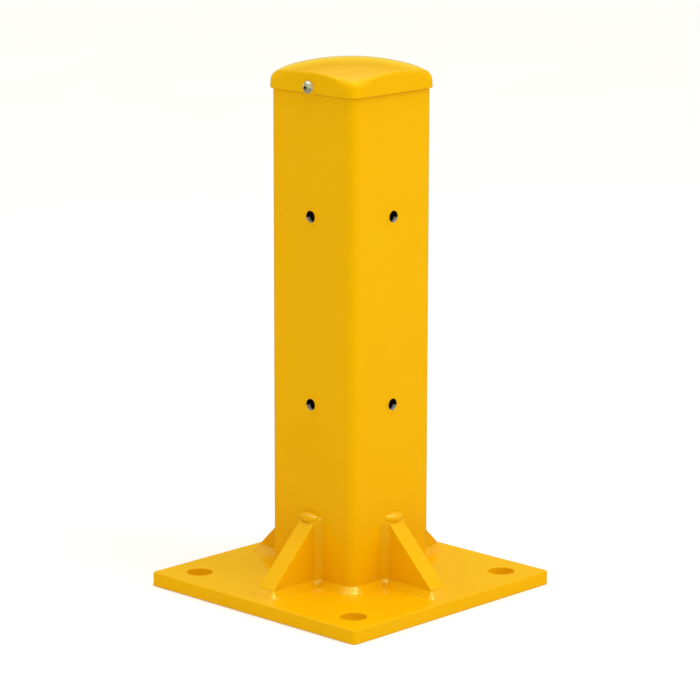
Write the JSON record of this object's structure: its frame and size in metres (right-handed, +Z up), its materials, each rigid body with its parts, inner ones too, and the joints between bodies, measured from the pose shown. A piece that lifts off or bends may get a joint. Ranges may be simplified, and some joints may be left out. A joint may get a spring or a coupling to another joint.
{
  "type": "safety post",
  "caption": "Square steel guard-rail post on a base plate with welded gussets, threaded rail fixings on each face and a domed screwed cap.",
  "frame": {"origin": "centre of the base plate's underside, at floor level", "axes": "+Z up along the post; -Y out of the face that carries the cap screw (the front); +X out of the right-hand face"},
  "size_m": [0.25, 0.25, 0.4725],
  "materials": {
    "paint": "satin powder coat",
    "cap_paint": "gloss powder coat",
    "nut_steel": "zinc plated",
    "screw_steel": "bright zinc plated",
    "nylon": "natural"
  },
  "bodies": {
    "post": {"base_plate": "paint", "post_tube": "paint", "gusset_front": "paint", "gusset_right": "paint", "gusset_back": "paint", "gusset_left": "paint", "gusset_front_weld": "paint", "gusset_right_weld": "paint", "gusset_back_weld": "paint", "gusset_left_weld": "paint", "post_foot_weld": "paint", "rail_nuts_front": "nut_steel", "rail_nuts_right": "nut_steel", "rail_nuts_back": "nut_steel", "rail_nuts_left": "nut_steel"},
    "cap": {"cap": "cap_paint"},
    "screw_washer": {"cap_screw_washer": "nylon"},
    "screw": {"cap_screw": "screw_steel"}
  },
  "joints": [
    {"name": "cap_lift", "type": "slide", "parent": "post", "child": "cap", "axis": [0, 0, 1], "range_m": [0, 0.06]},
    {"name": "screw_travel", "type": "slide", "parent": "post", "child": "screw_washer", "axis": [0, -1, 0], "range_m": [0, 0.0216]},
    {"name": "screw_turn", "type": "hinge", "parent": "screw_washer", "child": "screw", "pos_m": [0, -0.05325, 0.4524], "axis": [0, -1, 0], "range_deg": [0, 4330]}
  ],
  "couplings": [
    {"joint": "screw_turn", "follows": "screw_travel", "rad_per_m": 3490.7}
  ]
}
